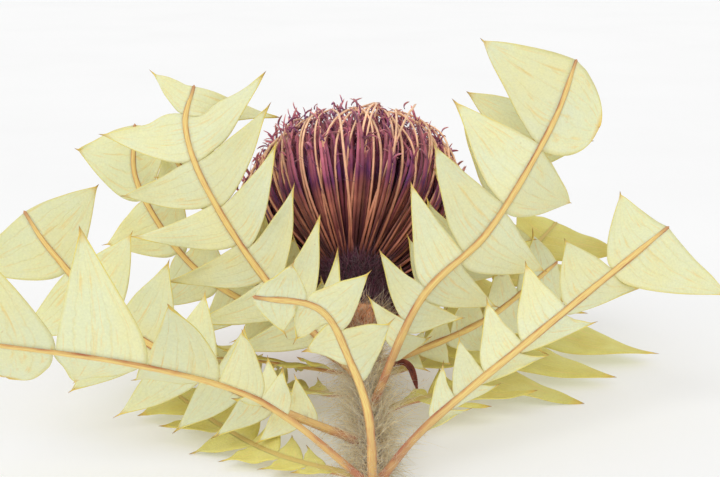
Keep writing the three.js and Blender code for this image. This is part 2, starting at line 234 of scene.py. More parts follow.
# Fills a node's inputs: each setting is a number, a colour or another node's output.
def fillInputs(tree, node, settings):
    for key, value in settings.items():
        if isinstance(value, bpy.types.NodeSocket):
            tree.links.new(value, node.inputs[key])
        else:
            node.inputs[key].default_value = value


def addNode(tree, kind, settings=None, **properties):
    node = tree.nodes.new(kind)
    for key, value in properties.items():
        setattr(node, key, value)
    fillInputs(tree, node, settings or {})
    return node


def readValue(tree, name):
    return addNode(tree, "ShaderNodeAttribute", attribute_name=name).outputs["Fac"]


def calculate(tree, operation, a, b=0.0):
    return addNode(tree, "ShaderNodeMath", {0: a, 1: b}, operation=operation).outputs[0]


def times(tree, a, b):
    return calculate(tree, "MULTIPLY", a, b)


def remap(tree, value, low, high, toLow=0.0, toHigh=1.0):
    settings = {"Value": value, "From Min": low, "From Max": high, "To Min": toLow, "To Max": toHigh}
    return addNode(tree, "ShaderNodeMapRange", settings).outputs["Result"]


# Sockets 6, 7 and 2 of a mix node are its two colours and its result as a colour.
def blendColour(tree, factor, a, b):
    return addNode(tree, "ShaderNodeMix", {0: factor, 6: a, 7: b}, data_type="RGBA").outputs[2]


def scaleColour(tree, colour, tone):
    scaled = addNode(tree, "ShaderNodeVectorMath", {0: colour, "Scale": tone}, operation="SCALE")
    return scaled.outputs[0]


def noiseFactor(tree, place, scale, detail, **more):
    settings = {"Vector": place, "Scale": scale, "Detail": detail, **more}
    return addNode(tree, "ShaderNodeTexNoise", settings).outputs["Fac"]


def objectPlace(tree):
    return addNode(tree, "ShaderNodeTexCoord").outputs["Object"]


def colourRamp(tree, value, stops):
    node = addNode(tree, "ShaderNodeValToRGB", {"Fac": value})
    ramp = node.color_ramp
    while len(ramp.elements) < len(stops):
        ramp.elements.new(0.5)
    for element, (place, colour) in zip(ramp.elements, stops.items()):
        element.position = place
        element.color = tint(colour)
    return node.outputs["Color"]


def newGroup(name, inputs, outputs):
    tree = bpy.data.node_groups.new(name, "ShaderNodeTree")
    for label, value in inputs.items():
        tree.interface.new_socket(label, in_out="INPUT", socket_type="NodeSocketFloat").default_value = value
    for label in outputs:
        tree.interface.new_socket(label, in_out="OUTPUT", socket_type="NodeSocketFloat")
    entry = tree.nodes.new("NodeGroupInput")
    leave = tree.nodes.new("NodeGroupOutput")
    return tree, entry.outputs, leave.inputs


# Soft blotches and fine grain of a dry plant surface, both from 0 to 1.
def makeDryMottle():
    inputs = {"Blotch Size": 60.0, "Grain Size": 900.0}
    tree, given, wanted = newGroup("dryMottle", inputs, ["Blotch", "Grain"])
    place = objectPlace(tree)
    blotch = noiseFactor(tree, place, given["Blotch Size"], 4.0)
    tree.links.new(remap(tree, blotch, 0.35, 0.68), wanted["Blotch"])
    tree.links.new(noiseFactor(tree, place, given["Grain Size"], 3.0), wanted["Grain"])
    return tree


# Thin lines that run along a strip: the strip's across value places them, and noise bends them.
def makeNerveLines():
    inputs = {"Across": 0.0, "Count": 5.0, "Width": 0.2, "Waver": 0.3}
    tree, given, wanted = newGroup("nerveLines", inputs, ["Lines"])
    noise = noiseFactor(tree, objectPlace(tree), 140.0, 2.0)
    bend = times(tree, calculate(tree, "SUBTRACT", noise, 0.5), given["Waver"])
    spread = calculate(tree, "ADD", times(tree, given["Across"], given["Count"]), bend)
    wave = calculate(tree, "ABSOLUTE", calculate(tree, "SUBTRACT", calculate(tree, "FRACT", spread), 0.5))
    line = addNode(tree, "ShaderNodeMapRange", {"Value": wave, "From Min": given["Width"], "From Max": 0.0},
                   interpolation_type="SMOOTHSTEP").outputs["Result"]
    tree.links.new(line, wanted["Lines"])
    return tree


dryMottle = makeDryMottle()
nerveLines = makeNerveLines()


def useGroup(tree, group, settings):
    return addNode(tree, "ShaderNodeGroup", settings, node_tree=group).outputs


def newMaterial(name, roughness, sheen=0.0):
    material = bpy.data.materials.new(name)
    material.use_nodes = True
    tree = material.node_tree
    shader = tree.nodes["Principled BSDF"]
    fillInputs(tree, shader, {"Roughness": roughness, "Sheen Weight": sheen, "Sheen Roughness": 0.4,
                              "Specular IOR Level": 0.35})
    return material, tree, shader


def makeBump(tree, height, strength, distance):
    settings = {"Height": height, "Strength": strength, "Distance": distance}
    return addNode(tree, "ShaderNodeBump", settings).outputs["Normal"]


# Light goes a short way into thin dry leaves and pale hairs.
def letLightIn(tree, shader, weight, radius, depth):
    fillInputs(tree, shader, {"Subsurface Weight": weight, "Subsurface Radius": radius,
                              "Subsurface Scale": depth})


# Lays colours over a first one, each as far as its own factor says.
def layColours(tree, colour, layers):
    for factor, over in layers:
        colour = blendColour(tree, factor, colour, over)
    return colour


bladeLook = {
    "underside": (228, 232, 194), "undersideWarm": (234, 231, 180), "upperSide": (226, 220, 134),
    "upperWarm": (214, 200, 104), "nerve": (232, 214, 150), "streak": (236, 206, 130),
    "margin": (238, 218, 116), "tip": (232, 190, 92), "spine": (190, 122, 62), "spot": (186, 140, 92),
}


def makeBladeMaterial():
    look = {key: tint(value) for key, value in bladeLook.items()}
    material, tree, shader = newMaterial("dryLeaf", roughness=0.62)
    across, out, side, shade = (readValue(tree, name) for name in ("across", "out", "side", "shade"))
    mottle = useGroup(tree, dryMottle, {"Blotch Size": 55.0, "Grain Size": 1100.0})
    under = blendColour(tree, mottle["Blotch"], look["underside"], look["undersideWarm"])
    upper = blendColour(tree, mottle["Blotch"], look["upperSide"], look["upperWarm"])
    nerves = useGroup(tree, nerveLines, {"Across": across, "Count": 2.4, "Width": 0.09, "Waver": 0.6})
    streakPlace = addNode(tree, "ShaderNodeCombineXYZ", {
        "X": times(tree, across, 9.0), "Y": times(tree, out, 2.6), "Z": times(tree, shade, 40.0)})
    streaks = noiseFactor(tree, streakPlace.outputs["Vector"], 1.0, 3.0, Distortion=0.6)
    rim = remap(tree, calculate(tree, "ABSOLUTE", across), 0.9, 1.0)
    place = objectPlace(tree)
    spots = noiseFactor(tree, place, 260.0, 5.0, Roughness=0.7)
    colour = layColours(tree, under, [
        (side, upper),
        (times(tree, nerves["Lines"], remap(tree, out, 0.0, 0.8, 0.4, 0.0)), look["nerve"]),
        (remap(tree, streaks, 0.56, 0.7, 0.0, 0.55), look["streak"]),
        (times(tree, rim, remap(tree, out, 0.1, 1.0, 0.25, 0.9)), look["margin"]),
        (remap(tree, out, 0.9, 1.0, 0.0, 0.8), look["tip"]),
        (remap(tree, out, 1.0, 1.1), look["spine"]),
        (remap(tree, spots, 0.69, 0.78, 0.0, 0.5), look["spot"]),
    ])
    tone = times(tree, remap(tree, mottle["Grain"], 0.3, 0.7, 0.95, 1.04),
                 remap(tree, shade, 0.0, 1.0, 0.93, 1.05))
    net = addNode(tree, "ShaderNodeTexVoronoi", {"Vector": place, "Scale": 620.0},
                  feature="DISTANCE_TO_EDGE")
    netLine = remap(tree, net.outputs["Distance"], 0.0, 0.16, 1.0, 0.0)
    fine = calculate(tree, "ADD", times(tree, netLine, 0.2), mottle["Grain"])
    height = calculate(tree, "ADD", times(tree, nerves["Lines"], 1.2), fine)
    fillInputs(tree, shader, {
        "Base Color": scaleColour(tree, colour, tone), "Normal": makeBump(tree, height, 0.3, 0.0004),
        "Roughness": remap(tree, mottle["Grain"], 0.3, 0.7, 0.55, 0.75)})
    letLightIn(tree, shader, 0.35, (1.0, 0.9, 0.45), 0.0015)
    return material


ribLook = {
    "crest": (248, 222, 138), "crestWarm": (236, 184, 114), "flank": (176, 100, 66),
    "foot": (192, 124, 96), "upperGroove": (216, 190, 110),
}


def makeRibMaterial():
    look = {key: tint(value) for key, value in ribLook.items()}
    material, tree, shader = newMaterial("leafMidrib", roughness=0.55)
    turn, along, side = (readValue(tree, name) for name in ("across", "out", "side"))
    mottle = useGroup(tree, dryMottle, {"Blotch Size": 90.0, "Grain Size": 1600.0})
    flank = remap(tree, calculate(tree, "ABSOLUTE", turn), 0.5, 0.95)
    stringPlace = addNode(tree, "ShaderNodeCombineXYZ", {
        "X": times(tree, turn, 3.0), "Y": times(tree, along, 14.0)})
    strings = noiseFactor(tree, stringPlace.outputs["Vector"], 1.6, 4.0)
    footward = times(tree, remap(tree, along, 0.04, 0.32, 0.95, 0.0),
                     remap(tree, mottle["Blotch"], 0.2, 0.7, 0.45, 1.0))
    colour = layColours(tree, look["crest"], [
        (remap(tree, strings, 0.44, 0.66), look["crestWarm"]),
        (times(tree, flank, remap(tree, mottle["Blotch"], 0.0, 1.0, 0.35, 1.0)), look["flank"]),
        (footward, look["foot"]),
        (remap(tree, along, 0.955, 0.995, 0.0, 0.7), look["foot"]),
        (side, look["upperGroove"]),
    ])
    lines = useGroup(tree, nerveLines, {"Across": turn, "Count": 9.0, "Width": 0.4, "Waver": 0.4})
    fillInputs(tree, shader, {"Base Color": colour, "Normal": makeBump(tree, lines["Lines"], 0.25, 0.0003)})
    return material


# Threads, wires and hairs: the colour runs from root to tip, and each strand has its own tone between two
# values. Where a second row of colours is given, some strands take it instead.
def makeThreadMaterial(name, stops, toneLow, toneHigh, roughness, sheen, otherStops=None, translucent=False):
    material, tree, shader = newMaterial(name, roughness, sheen)
    along, shade = readValue(tree, "along"), readValue(tree, "shade")
    colour = colourRamp(tree, along, stops)
    if otherStops:
        other = colourRamp(tree, along, otherStops)
        colour = blendColour(tree, remap(tree, readValue(tree, "kind"), 0.35, 0.75), colour, other)
    mottle = useGroup(tree, dryMottle, {"Blotch Size": 260.0, "Grain Size": 1400.0})
    tone = times(tree, remap(tree, shade, 0.0, 1.0, toneLow, toneHigh),
                 remap(tree, mottle["Blotch"], 0.0, 1.0, 0.8, 1.1))
    fillInputs(tree, shader, {"Base Color": scaleColour(tree, colour, tone),
                              "Normal": makeBump(tree, mottle["Grain"], 0.3, 0.0003)})
    if translucent:
        letLightIn(tree, shader, 0.45, (1.0, 0.92, 0.6), 0.002)
    return material


# Skins without threads: two colours in blotches and a darker one in the grain, with a bump in metres.
def makeSkinMaterial(name, colours, blotchSize, grainSize, bump):
    main, other, dark = (tint(colour) for colour in colours)
    material, tree, shader = newMaterial(name, 0.85, 0.15)
    mottle = useGroup(tree, dryMottle, {"Blotch Size": blotchSize, "Grain Size": grainSize})
    colour = layColours(tree, main, [(mottle["Blotch"], other),
                                     (remap(tree, mottle["Grain"], 0.5, 0.72), dark)])
    fillInputs(tree, shader, {"Base Color": colour, "Normal": makeBump(tree, mottle["Grain"], 0.6, bump)})
    return material


leafMaterial = makeBladeMaterial()
ribMaterial = makeRibMaterial()
print("leaf materials made")

towardsHead, forwards, upwards = [0, 1, 0.2], [0, 1, -0.15], [0, 0.1, 1]
upAndBack, leaningBack = [0, -0.35, 1], [0, -0.7, 1]
stemLine = [[9, -188, 4.8], [9, -150, 4.8], [8.5, -112, 6.5], [7.5, -75, 16.5], [5, -48, 28]]
leafForm = {
    "thickness": 0.56, "rows": 22, "columns": 15, "cupping": 1.1, "waving": 0.55, "spine": 3.0,
    "ribHalfWidth": (1.75, 1.15), "ribDepth": (1.9, 0.85), "ribCrown": 0.42, "ribRings": 72, "ribSides": 14,
    "peak": (1.1, 0.8), "rootLobe": 0.4,  # where lobes have their point, and where the second side starts
    "peakSpread": (-0.08, 0.08), "lengthSpread": (0.92, 1.06), "foldSpread": (-5, 5), "curlSpread": (-0.3, 0.2),
}
# A leaf leaves the stem at the y of "from" and runs through "via" to "tip". "face" is the way its upper side
# looks. "turn" twists it at the foot and at the tip, and "fold" raises its halves, in degrees. "petiole" is
# the share of it without lobes. "reach" is the length of a lobe, "short" the share of that at the foot and
# "ends" at the tip; "first" and "last" do the same for widths. "sweep" moves the points of the lobes
# forwards, "blunt" rounds the last lobe, "drop" lowers the outer ones by degrees, and "rests" lays the leaf
# on the table. A pair is for the left and the right side, seen from the foot, but for "turn".
usualLeaf = {
    "turn": [0, 0], "fold": 8, "petiole": 0.13, "first": 0.5, "last": 1.2, "short": 0.42, "sweep": [0, 0],
    "ends": [1, 1], "blunt": [0, 0], "drop": [0, 0], "rests": False,
}
leaves = [{**usualLeaf, **leaf} for leaf in [
    {"name": "leaf_01", "from": -126, "via": [[-26, -106, 5], [-50, -78, 5]], "tip": [-74, -42, 6],
     "face": upAndBack, "lobes": 6, "reach": [18, 18], "rests": True},
    {"name": "leaf_02", "from": -140, "via": [[7.5, -138, 33], [1, -138, 54], [-9, -146, 75]],
     "tip": [-30, -155, 82], "face": towardsHead, "fold": 15, "lobes": 3, "reach": [20, 15],
     "sweep": [-0.3, -0.6], "petiole": 0.42, "first": 1.3, "last": 1.1, "short": 0.85, "ends": [0.65, 0.8]},
    {"name": "leaf_03", "from": -132, "via": [[-20, -121, 25.5], [-42, -121, 38], [-81, -124, 49]],
     "tip": [-142, -122, 57], "face": towardsHead, "turn": [-28, -28], "fold": 26, "lobes": 5,
     "reach": [42, 24], "petiole": 0.24, "first": 0.35, "blunt": [0, 0.9], "drop": [0, 30]},
    {"name": "leaf_04", "from": -136, "via": [[13, -133, 10], [30, -112, 21], [69, -90, 46]],
     "tip": [127, -54, 81], "face": forwards, "turn": [25, -32], "fold": 24, "lobes": 6, "reach": [12, 25],
     "ends": [2.8, 1], "sweep": [0.4, 0.1], "petiole": 0.2, "short": 0.5},
    {"name": "leaf_05", "from": -103, "via": [[-40, -90, 24], [-88, -72, 45], [-117, -60, 72]],
     "tip": [-129, -53, 87], "face": forwards, "turn": [30, 0], "lobes": 7, "reach": [30, 32]},
    {"name": "leaf_06", "from": -88, "via": [[28, -66, 18], [66, -15, 20]], "tip": [110, 44, 20],
     "face": upAndBack, "turn": [0, 12], "lobes": 5, "reach": [16, 42], "rests": True},
    {"name": "leaf_07", "from": -84, "via": [[28, -74, 57], [55, -60, 81], [81, -38, 118]],
     "tip": [94, -16, 143], "face": forwards, "turn": [16, 16], "fold": 20, "lobes": 6, "reach": [34, 38],
     "sweep": [0, 0.1], "first": 0.4, "last": 1.5, "ends": [0.65, 1], "blunt": [1, 0]},
    {"name": "leaf_08", "from": -74, "via": [[-20, -50, 12], [-41, -26, 9]], "tip": [-74, 22, 6],
     "face": upwards, "fold": 6, "lobes": 5, "reach": [20, 20], "rests": True},
    {"name": "leaf_09", "from": -68, "via": [[-32, -58, 59], [-57, -46, 95], [-66.5, -33, 118]],
     "tip": [-64, -22, 133], "face": towardsHead, "fold": 4, "lobes": 7, "reach": [36, 36],
     "sweep": [0.4, 0.3], "first": 0.8, "last": 0.65, "ends": [1, 0.5], "short": 0.85},
    {"name": "leaf_10", "from": -62, "via": [[-20, -48, 21], [-48, -33, 19]], "tip": [-92, -14, 14],
     "face": upwards, "turn": [15, 15], "lobes": 6, "reach": [20, 20]},
    {"name": "leaf_11", "from": -63, "via": [[28, -44, 21], [53, -11, 30], [78, 30, 43]],
     "tip": [100, 64, 55], "face": leaningBack, "lobes": 6, "reach": [18, 40]},
    {"name": "leaf_12", "from": -64, "via": [[-26, -50, 39], [-67, -18, 55], [-92, -1, 87]],
     "tip": [-94, 8, 112], "face": forwards, "lobes": 6, "reach": [18, 26]},
    {"name": "leaf_13", "from": -58, "via": [[30, -53, 30], [58, -42, 40]], "tip": [88, -22, 58],
     "face": towardsHead, "fold": 10, "lobes": 5, "reach": [18, 18]},
    {"name": "leaf_14", "from": -50, "via": [[-27, -42, 59], [-57, -36, 86]], "tip": [-76, -18, 106],
     "face": towardsHead, "lobes": 4, "reach": [20, 12]},
    {"name": "leaf_15", "from": -49, "via": [[36, -44, 55], [70, -16, 92]], "tip": [86, 4, 120],
     "face": forwards, "lobes": 6, "reach": [22, 33]},
]]

stemAt = smoothPath(stemLine)[0]


def stemShareAt(y):
    shares = np.linspace(0, 1, 2001)
    return np.interp(y, stemAt(shares)[0][:, 1], shares)


def leafFrames(leaf):
    foot = stemAt(stemShareAt(leaf["from"]))[0][0]
    at, length = smoothPath([foot, *leaf["via"], leaf["tip"]])

    def frames(t):
        place, along = at(np.ravel(t))
        face = np.array(leaf["face"], float)
        up = unit(face - along * (along @ face)[:, None])
        turn = np.radians(mix(*leaf["turn"], np.ravel(t)))[:, None]
        up = up * np.cos(turn) + np.cross(along, up) * np.sin(turn)
        shape = np.shape(t) + (3,)
        return tuple(v.reshape(shape) for v in (place, along, up, np.cross(along, up)))

    return frames, length, foot


# Where lobes begin and end along the midrib; those of the second side start a little later.
def lobeBounds(leaf, side):
    count = leaf["lobes"]
    widths = mix(leaf["first"], 1, smoothStep(np.arange(count) / (count - 1), 0, 0.8))
    widths[-1] *= leaf["last"]
    reached = leafForm["rootLobe"] * widths[0] if side > 0 else 0
    bounds = reached + np.concatenate([[0], np.cumsum(widths)])
    return mix(leaf["petiole"], 1, bounds / bounds[-1])


def lobeShape(leaf, side, i, bounds, draw):
    outward = i / (leaf["lobes"] - 1)
    which = 0 if side < 0 else 1
    full = mix(leaf["short"], 1, smoothStep(outward, -0.15, 0.7))
    blunt = 0
    if i == leaf["lobes"] - 1:
        full *= leaf["ends"][which]
        blunt = leaf["blunt"][which]
    peak = mix(*leafForm["peak"], outward) + leaf["sweep"][which]
    drop = leaf["drop"][which] * outward**4
    return {
        "from": bounds[i], "to": bounds[i + 1],
        "length": leaf["reach"][which] * full * mix(*leafForm["lengthSpread"], next(draw)),
        "peak": mix(peak + mix(*leafForm["peakSpread"], next(draw)), 0.52, blunt),
        "fold": math.radians(leaf["fold"] - drop + mix(*leafForm["foldSpread"], next(draw))),
        "curl": mix(*leafForm["curlSpread"], next(draw)),
        "blunt": blunt,
    }


def ribHalfAt(t):
    return mix(*leafForm["ribHalfWidth"], t**0.85)


# One lobe's middle surface, near edge to far edge in each row, rows from the midrib to the tip.
def lobeSurface(frames, length, side, lobe, random):
    s = np.linspace(0, 1, leafForm["rows"])[:, None]
    s = mix(s**0.92, np.sin(np.pi / 2 * s), lobe["blunt"])
    v = np.linspace(0, 1, leafForm["columns"])[None, :]
    s = np.minimum(s, mix(0.988, 0.998, lobe["blunt"]))
    rounded = 1 - np.sqrt(1 - s**2)
    near = lobe["peak"] * mix(s**1.9 * (1.4 - 0.4 * s), rounded, lobe["blunt"])
    offset = near + (1 - (1 - lobe["peak"]) * mix(s**1.6, rounded, lobe["blunt"]) - near) * v
    out = s * lobe["length"] * np.ones_like(v)
    lift = (out * math.sin(lobe["fold"]) + lobe["curl"] * out * s)[..., None]
    t = np.clip(mix(lobe["from"], lobe["to"], offset), 0, 1)
    place, along, up, right = frames(t)
    sideways = (ribHalfAt(t) * 0.6 * (1 - s) + out * math.cos(lobe["fold"]))[..., None]
    curved = place + side * right * sideways + up * lift
    place, along, up, right = frames(np.full(1, mix(lobe["from"], lobe["to"], 0.5)))
    width = (lobe["to"] - lobe["from"]) * length
    flat = (place + side * right * (out * math.cos(lobe["fold"]))[..., None] + up * lift
            + along * (width * (offset - 0.5))[..., None])
    surface = mix(curved, flat, smoothStep(s, 0.02, 0.45)[..., None])
    rim = 2 * v - 1  # -1 at the edge near the foot, 1 at the far one
    cup = leafForm["cupping"] * random.uniform(-0.9, 1.0) * (1 - rim**2) * np.sin(np.pi * s**0.8)
    phases = random.uniform(0, 2 * np.pi, 4)
    waves = (np.sin(7.5 * s + phases[0] + 2 * rim) * rim**2 + 0.7 * np.sin(5 * offset + 3 * s + phases[1])
             + 0.35 * np.sin(13 * s + 5 * rim + phases[2]) * rim**2)
    curlBack = -0.35 * smoothStep(np.abs(rim), 0.8, 1.0)
    relief = cup + leafForm["waving"] * waves * smoothStep(s, 0.05, 0.6) + curlBack * smoothStep(s, 0.1, 0.3)
    return surface + up * relief[..., None], up[0], s, rim


def fitLeafToTable(points, foot):
    share = smoothStep(np.hypot(points[:, 0] - foot[0], points[:, 1] - foot[1]), 0, 60)
    drop = np.min(points[:, 2] / np.maximum(share, 0.3))
    points[:, 2] -= drop * share


# Faces of a lobe: its upper and lower grid, the edge between them, and a cone from the end to the spine.
def lobeFaces(side):
    rows, columns = leafForm["rows"], leafForm["columns"]
    each = rows * columns
    grid = gridFaces(rows, columns)
    loop = rimLoop(rows, columns)
    edge = np.stack([loop[:-1], loop[1:], loop[1:] + each, loop[:-1] + each], -1)
    ends, tip = (rows - 1) * columns + np.arange(columns), 2 * each
    cone = [[ends[0] + each, tip, ends[0]], [ends[-1], tip, ends[-1] + each]]
    for a, b in zip(ends[:-1], ends[1:]):
        cone += [[a, tip, b], [b + each, tip, a + each]]
    quads, tris = np.vstack([grid, grid[:, ::-1] + each, edge]), np.array(cone)
    return (quads, tris) if side < 0 else (quads[:, ::-1], tris[:, ::-1])


def lobePart(frames, length, side, lobe, random):
    surface, up, s, rim = lobeSurface(frames, length, side, lobe, random)
    grain = unit(np.cross(np.gradient(surface, axis=0), np.gradient(surface, axis=1)))
    grain *= np.where(np.sum(grain * up, -1, keepdims=True) < 0, -1, 1)
    thinning = 1 - 0.35 * smoothStep(np.abs(rim), 0.75, 1)
    grain *= leafForm["thickness"] / 2 * thinning[..., None]
    end = surface[-1].mean(0)
    spine = leafForm["spine"] * random.uniform(0.6, 1.2) * (1 - 0.9 * lobe["blunt"])
    tip = end + unit(end - surface[-4].mean(0)) * spine
    points = np.vstack([(surface + grain).reshape(-1, 3), (surface - grain).reshape(-1, 3), tip])
    each = rim.size * s.size
    values = {
        "across": np.append(np.tile((rim * np.ones_like(s)).ravel(), 2), 0),
        "out": np.append(np.tile((s * np.ones_like(rim)).ravel(), 2), 1.1),
        "side": np.repeat([1, 0, 0.5], [each, each, 1]),
        "shade": np.full(len(points), random.uniform()),
    }
    return points, *lobeFaces(side), values


# The midrib stands out below the blade, and has a shallow groove above it.
def ribPart(frames, seed):
    rings, sides = leafForm["ribRings"], leafForm["ribSides"]
    t = np.linspace(0, 1, rings) ** 0.95
    place, along, up, right = frames(t)
    turns = turnsOf(sides)
    taper = (1 - 0.4 * smoothStep(t, 0.9, 1)) * (1 + 0.45 * (1 - smoothStep(t, 0, 0.06)))
    knots = 1 + 0.05 * np.sin(41 * t + seed) * smoothStep(t, 0, 0.2)
    wide = (ribHalfAt(t) * taper * knots)[:, None] * np.cos(turns)
    deepAt = mix(*leafForm["ribDepth"], t**0.6) * taper * knots
    rise = np.sin(turns)
    high = np.where(rise > 0, leafForm["ribCrown"] * rise, deepAt[:, None] * rise)
    points = ringsAround(place, right, up, wide, high).reshape(-1, 3)
    points = np.vstack([points, place[-1] + along[-1] * 0.9])
    last = (rings - 1) * sides
    tris = [[last + j, last + sides, last + (j + 1) % sides] for j in range(sides)]
    tris += [[0, j + 1, j] for j in range(1, sides - 1)]
    values = {
        "across": np.append(np.tile(np.cos(turns), rings), 0), "out": np.append(np.repeat(t, sides), 1),
        "side": np.append(np.tile(rise > 0.2, rings), 0), "shade": np.full(len(points), 0.5),
    }
    return points, gridFaces(rings, sides, closed=True), np.array(tris), values


def makeLeaf(leaf, seed):
    draw, random = seededDraws(seed), np.random.default_rng(seed)
    frames, length, foot = leafFrames(leaf)
    parts = []
    for side in (-1, 1):
        bounds = lobeBounds(leaf, side)
        for i in range(leaf["lobes"]):
            lobe = lobeShape(leaf, side, i, bounds, draw)
            parts.append(lobePart(frames, length, side, lobe, random))
    bladeQuads, bladeTris = (sum(len(part[k]) for part in parts) for k in (1, 2))
    points, quads, tris, values = mergeParts(parts + [ribPart(frames, seed)])
    if leaf["rests"]:
        fitLeafToTable(points, foot)
    points[:, 2] = np.maximum(points[:, 2], aboveTable)
    onRib = np.append(np.arange(len(quads)) >= bladeQuads, np.arange(len(tris)) >= bladeTris)
    piece = makePiece(leaf["name"] + "_blade", points, quads, tris, values, [leafMaterial, ribMaterial],
                      onRib * 1)
    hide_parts(leaf["name"])


for number, leaf in enumerate(leaves, 1):
    makeLeaf(leaf, number)
print("leaves made")

headForm = {
    "florets": 430, "lopside": 4.5, "domeRadius": 47,
    "strapsEach": 3, "strapPoints": 10, "strapHalf": 0.98, "strapCurl": 2.2,
    "wires": 0.12, "lowest": 0.88,  # a share of the florets has a wire, and so have all from here outwards
    "wirePoints": 20, "wireRadius": (0.6, 0.42), "wireLift": 2.1, "wireWander": 1.7,
    "clumps": 17, "clumping": 0.55, "clumpSpread": 0.72,  # the places on the dome where wires end together
    "tips": 3350, "tipLength": (5, 11), "tipHalf": (0.4, 0.85), "tipPoints": 8,
    "fuzz": 2200, "fuzzLength": (2, 5), "neckHairs": 5700, "neckLength": (3, 7.5),
    "hair": {"radius": 0.15, "bend": 0.4, "points": 5},
    "core": [[12, -3.7], [12, 3], [14, 9], [19, 16], [26, 25], [31, 37], [31, 52], [25, 66], [13, 77]],
    "skin": {"rings": 50, "sides": 96, "bump": 0.35, "seed": 3},
}
# The straps are dark purple at the foot, as the real florets are, and darker still there as painted shade deep
# among them.
strapStops = {0.0: (60, 22, 36), 0.18: (108, 50, 54), 0.32: (166, 98, 84), 0.42: (156, 84, 82),
              0.5: (122, 54, 92), 0.6: (166, 86, 108), 0.85: (194, 110, 122), 1.0: (216, 142, 142)}
strapOther = {0.0: (50, 18, 34), 0.18: (80, 32, 44), 0.32: (118, 56, 62), 0.42: (108, 48, 68),
              0.5: (94, 42, 100), 0.6: (132, 66, 104), 0.85: (156, 86, 108), 1.0: (188, 114, 124)}
wireStops = {0.0: (124, 64, 62), 0.14: (200, 128, 104), 0.36: (238, 178, 144), 0.7: (252, 208, 168),
             0.94: (248, 200, 160), 1.0: (226, 160, 128)}
tipStops = {0.0: (112, 52, 84), 0.5: (182, 102, 118), 1.0: (226, 164, 156)}
tipOther = {0.0: (96, 46, 98), 0.5: (146, 76, 110), 1.0: (198, 122, 130)}
fuzzStops = {0.0: (96, 46, 98), 0.6: (144, 76, 124), 1.0: (194, 128, 148)}
# The neck wool is dark purple, and its tips are paler partly as its own colour and partly as a painted sheen.
neckStops = {0.0: (56, 20, 38), 0.6: (104, 46, 74), 1.0: (160, 100, 122)}
strapMaterial = makeThreadMaterial("floretStrap", strapStops, 0.75, 1.6, 0.6, 0.25, strapOther)
wireMaterial = makeThreadMaterial("wiryStyle", wireStops, 0.95, 1.28, 0.42, 0.1)
tipMaterial = makeThreadMaterial("curledTip", tipStops, 0.95, 1.7, 0.65, 0.3, tipOther)
fuzzMaterial = makeThreadMaterial("plumFuzz", fuzzStops, 0.65, 1.2, 0.8, 0.4)
neckMaterial = makeThreadMaterial("darkNeckWool", neckStops, 0.6, 1.25, 0.9, 0.4)
coreMaterial = makeSkinMaterial("headCore", [(64, 22, 42), (84, 34, 52), (38, 14, 28)], 200.0, 900.0, 0.001)

headBase = np.array([2.5, -30, 39])
headAxis = unit(np.array([-0.11, 0.735, 0.67]))
goldenAngle = math.pi * (3 - math.sqrt(5))


# The turn that stands the head's own upward direction along its axis.
def headTurn():
    k = np.cross([0, 0, 1], headAxis)
    cross = np.array([[0, -k[2], k[1]], [k[2], 0, -k[0]], [-k[1], k[0], 0]])
    return np.eye(3) + cross + cross @ cross / (1 + headAxis[2])


turnToHead = headTurn()


# Places and directions of the head's own frame, whose foot is at zero, brought to where the head is.
def toHead(points):
    return turned(points) + headBase


def turned(directions):
    return directions @ turnToHead.T


# A lathe surface from a profile of radius and height, with its own roughness of form.
def latheSkin(profile, rings, sides, bump, seed):
    line = smoothPath([[r, z, 0] for r, z in profile])[0](np.linspace(0, 1, rings))[0]
    turns = turnsOf(sides)
    random = np.random.default_rng(seed)
    uneven = sum(np.sin(k * turns[None] + random.uniform(0, 6.3) + 0.25 * j * np.arange(rings)[:, None])
                 for k, j in ((3, 1), (5, -1), (9, 2), (14, -2))) * bump
    radius = np.maximum(line[:, :1] + uneven * np.minimum(1, line[:, :1] / 8), 0)
    points = np.stack([radius * np.cos(turns), radius * np.sin(turns), line[:, 1:2] * np.ones(sides)], -1)
    points = np.vstack([points.reshape(-1, 3), [[0, 0, line[0, 1]], [0, 0, line[-1, 1]]]])
    return points, *tubeFaces(rings, sides)


def bezier(controls, t):
    t = np.atleast_2d(t)[..., None]
    a, b, c, d = (place[:, None] for place in controls)
    return (1 - t) ** 3 * a + 3 * (1 - t) ** 2 * t * b + 3 * (1 - t) * t**2 * c + t**3 * d


def aroundAxis(r, z, angle):
    return np.stack([r * np.cos(angle), r * np.sin(angle), z], -1)


def awayFromAxis(angle):
    return aroundAxis(np.ones(len(angle)), np.zeros(len(angle)), angle)


def domeHeight(spread):
    return mix(90, 73, spread**3)


# The control places of florets: where each leaves the core, how it bows out, and where it ends on the dome.
# A floret's spread is its share of the way from the middle of the dome, 0, to the lowest ring, 1.
def floretControls(spread, turn, random):
    n = len(spread)
    above = smoothStep(-np.sin(turn), -0.1, 0.8)
    opening = np.radians(mix(8, mix(110, 62, above), spread))
    tipR = headForm["domeRadius"] * spread**1.1 * random.uniform(0.94, 1.03, n)
    tipZ = domeHeight(spread) + random.uniform(-4, 3, n)
    footR, footZ = mix(0, 11, spread), mix(34, mix(5, 14, above), spread**1.5)
    out = mix(20, 43, spread)
    firstR, firstZ = footR + out * np.sin(opening), footZ + out * np.cos(opening)
    secondR, secondZ = tipR + 9 * spread**2, tipZ - mix(20, 33, spread)
    lean = random.uniform(-0.12, 0.12, n)
    controls = [aroundAxis(r, z, turn + lean * k) for r, z, k in (
        (footR, footZ, 0), (firstR, firstZ, 0.3), (secondR, secondZ, 0.8), (tipR, tipZ, 1))]
    for place, shift in zip(controls, (0, 0.4, 0.9, 1)):
        place[:, 0] += headForm["lopside"] * shift
    return controls


